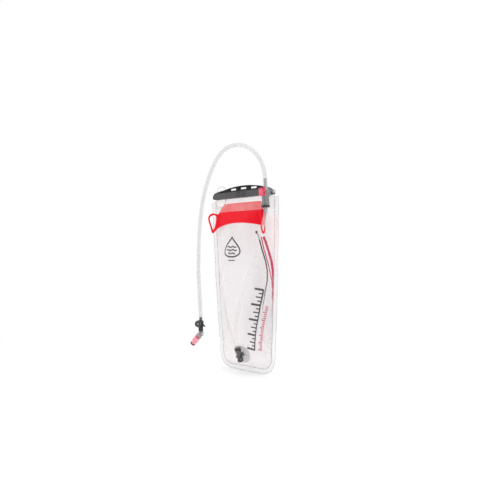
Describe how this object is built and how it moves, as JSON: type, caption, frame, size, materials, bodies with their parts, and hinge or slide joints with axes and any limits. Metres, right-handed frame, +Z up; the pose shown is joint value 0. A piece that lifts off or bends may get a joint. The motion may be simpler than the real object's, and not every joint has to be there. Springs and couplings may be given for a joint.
{
  "type": "hydration bladder",
  "caption": "Clear film drinking reservoir with a slide-on top closure, a grip band with finger loops, a quick-release hose coupling, a drinking hose, a magnet clip and a bite valve.",
  "frame": {"origin": "centre of the middle window in the slider's handle, which hangs on a hook", "axes": "+Z up along the hanging bag, +X across the bag to the side with the coupling, +Y towards the bag's back"},
  "size_m": [0.2463, 0.0738, 0.4998],
  "materials": {
    "slider_nylon": "satin, fine moulded grain",
    "film": "clear TPU film",
    "frosted_film": "frosted TPU film",
    "red_tpu": "satin, translucent",
    "clear_plastic": "clear moulding",
    "clear_hose": "clear TPU hose",
    "black_rubber": "matte",
    "dark_plastic": "satin",
    "black_plastic": "satin",
    "grey_plastic": "satin, slightly translucent",
    "white_plastic": "satin",
    "red_plastic": "gloss",
    "pink_plastic": "translucent",
    "pink_silicone": "soft, translucent",
    "steel": "plain"
  },
  "bodies": {
    "slider": {"slider_bar": "slider_nylon"},
    "bag": {"front_mouth_rail": "film", "back_mouth_rail": "film", "mouth_flap": "frosted_film", "front_panel": "film", "back_panel": "film", "perimeter_weld": "film", "grip_band": "red_tpu", "tether_loop": "film", "port_flange": "clear_plastic", "port_gasket": "black_rubber", "port_elbow": "dark_plastic", "port_collar": "dark_plastic", "lower_tube": "clear_hose", "socket_body": "grey_plastic", "button_spring": "steel", "socket_ring": "black_plastic", "socket_barb": "grey_plastic", "valve_spring": "steel"},
    "button": {"release_button": "red_plastic"},
    "poppet": {"valve_poppet": "white_plastic"},
    "hose": {"coupling_plug": "grey_plastic", "plug_o_ring": "black_rubber", "hose": "clear_hose", "swivel_barb": "black_plastic"},
    "clip": {"clip_housing": "black_plastic", "clip_magnet": "steel", "clip_cover": "black_plastic"},
    "elbow": {"elbow": "clear_plastic", "elbow_seal": "black_rubber"},
    "bite_valve": {"valve_core": "pink_plastic", "bite_sheath": "pink_silicone"}
  },
  "joints": [
    {"name": "slide_closure", "type": "slide", "parent": "slider", "child": "bag", "axis": [1, 0, 0], "range_m": [0, 0.19]},
    {"name": "button_press", "type": "slide", "parent": "bag", "child": "button", "axis": [0, 1, 0], "range_m": [0, 0.002], "stiffness_N_per_m": 400, "springref_m": -0.001, "deforming": ["button_spring"]},
    {"name": "plug_release", "type": "slide", "parent": "bag", "child": "hose", "axis": [0, 0, 1], "range_m": [0, 0.03]},
    {"name": "poppet_lift", "type": "slide", "parent": "bag", "child": "poppet", "axis": [0, 0, 1], "range_m": [0, 0.004]},
    {"name": "clip_turn", "type": "hinge", "parent": "hose", "child": "clip", "pos_m": [-0.12, -0.02, -0.305], "axis": [0, 0, 1], "continuous": true},
    {"name": "elbow_swivel", "type": "hinge", "parent": "hose", "child": "elbow", "pos_m": [-0.12, -0.02, -0.328], "axis": [0, 0, 1], "continuous": true},
    {"name": "shutoff_twist", "type": "hinge", "parent": "elbow", "child": "bite_valve", "pos_m": [-0.12, -0.02, -0.328], "axis": [-0.7071, 0, -0.7071], "range_deg": [0, 90]}
  ],
  "couplings": [
    {"joint": "poppet_lift", "follows": "plug_release", "ratio": 0.13}
  ]
}
